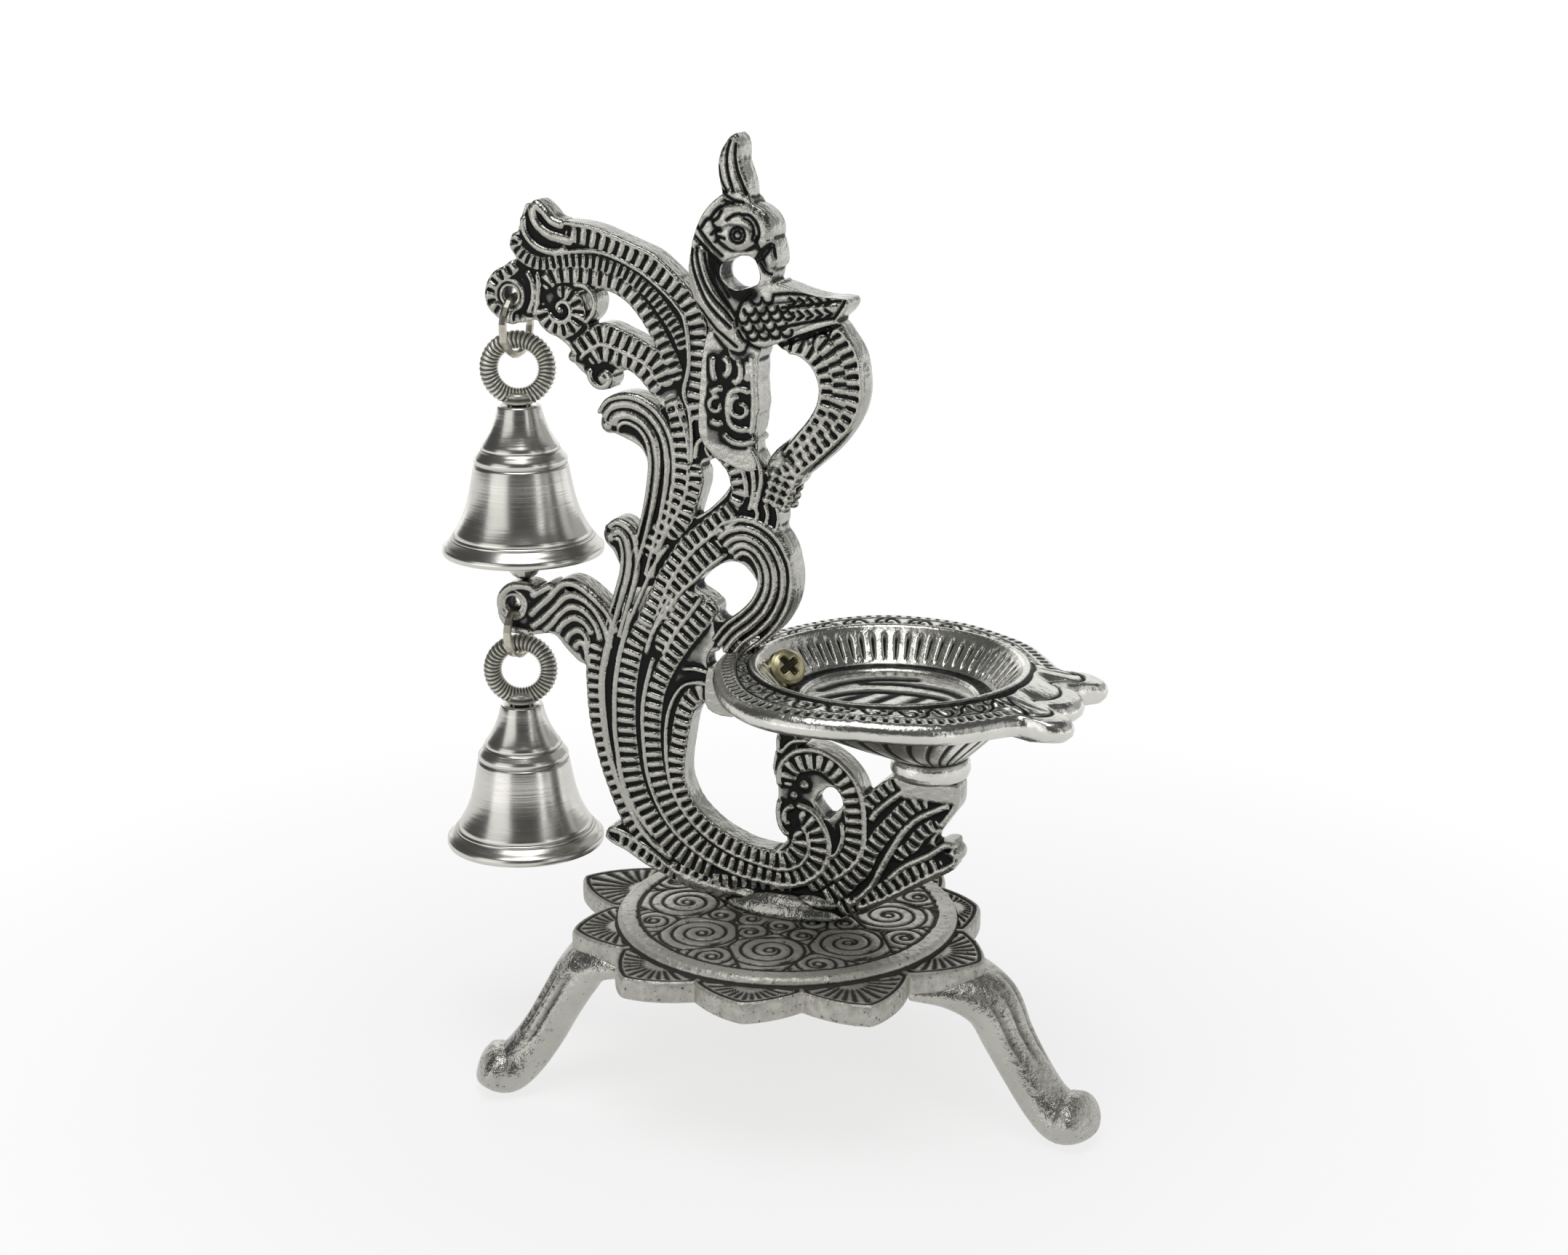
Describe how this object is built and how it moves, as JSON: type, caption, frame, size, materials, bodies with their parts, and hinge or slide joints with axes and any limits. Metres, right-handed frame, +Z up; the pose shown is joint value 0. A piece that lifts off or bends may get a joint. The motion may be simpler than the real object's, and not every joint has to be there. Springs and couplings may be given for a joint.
{
  "type": "standing oil lamp",
  "caption": "Pierced peacock stem on a three-legged lotus base, with a leaf-shaped oil bowl at one side and bells hanging from hooked arms at the other.",
  "frame": {"origin": "on the floor, under the middle of the lamp's bounding box", "axes": "+Z up, +X along the stem's plane towards the oil bowl and its spout, -X towards the bells"},
  "size_m": [0.1484, 0.1088, 0.1971],
  "materials": {
    "cast_base": "satin cast white metal with dark wax in the engraved lines",
    "oxidised_casting": "polished highlights over near-black oxidised recesses",
    "cast_bowl": "satin cast white metal, engraved rim",
    "polished_bell": "turned and polished, fine lathe lines",
    "loop_metal": "dull cast ring with slanting ribs",
    "ring_wire": "nickel plated wire, slightly worn",
    "yellow_zinc": "yellow zinc plated",
    "plain_steel": "plain steel"
  },
  "bodies": {
    "stand": {"lotus_base": "cast_base", "peacock_stem": "oxidised_casting", "oil_bowl": "cast_bowl", "bowl_screw": "yellow_zinc", "base_washer": "plain_steel", "base_screw": "yellow_zinc"},
    "upper_ring": {"upper_jump_ring": "ring_wire"},
    "upper_bell_body": {"upper_bell": "polished_bell", "upper_bell_loop": "loop_metal", "upper_bell_nut": "plain_steel"},
    "upper_clapper": {"upper_clapper_wire": "plain_steel", "upper_clapper_ball": "polished_bell"},
    "lower_ring": {"lower_split_ring": "ring_wire"},
    "lower_bell_body": {"lower_bell": "polished_bell", "lower_bell_loop": "loop_metal", "lower_bell_nut": "plain_steel"},
    "lower_clapper": {"lower_clapper_wire": "plain_steel", "lower_clapper_ball": "polished_bell"}
  },
  "joints": [
    {"name": "upper_ring_swing", "type": "hinge", "parent": "stand", "child": "upper_ring", "pos_m": [-0.05559, -0.01068, 0.1632], "axis": [0, 1, 0], "range_deg": [-2.5, 35]},
    {"name": "upper_bell_swing", "type": "hinge", "parent": "upper_ring", "child": "upper_bell_body", "pos_m": [-0.05559, -0.01068, 0.15377], "axis": [1, 0, 0], "range_deg": [-20, 20]},
    {"name": "upper_clapper_swing", "type": "hinge", "parent": "upper_bell_body", "child": "upper_clapper", "pos_m": [-0.05559, -0.01068, 0.1336], "axis": [0, 1, 0], "range_deg": [-20, 20]},
    {"name": "lower_ring_swing", "type": "hinge", "parent": "stand", "child": "lower_ring", "pos_m": [-0.05719, -0.01068, 0.0978], "axis": [0, 1, 0], "range_deg": [-2.5, 35]},
    {"name": "lower_bell_swing", "type": "hinge", "parent": "lower_ring", "child": "lower_bell_body", "pos_m": [-0.05719, -0.01068, 0.08868], "axis": [1, 0, 0], "range_deg": [-20, 20]},
    {"name": "lower_clapper_swing", "type": "hinge", "parent": "lower_bell_body", "child": "lower_clapper", "pos_m": [-0.05719, -0.01068, 0.0685], "axis": [0, 1, 0], "range_deg": [-20, 20]}
  ]
}
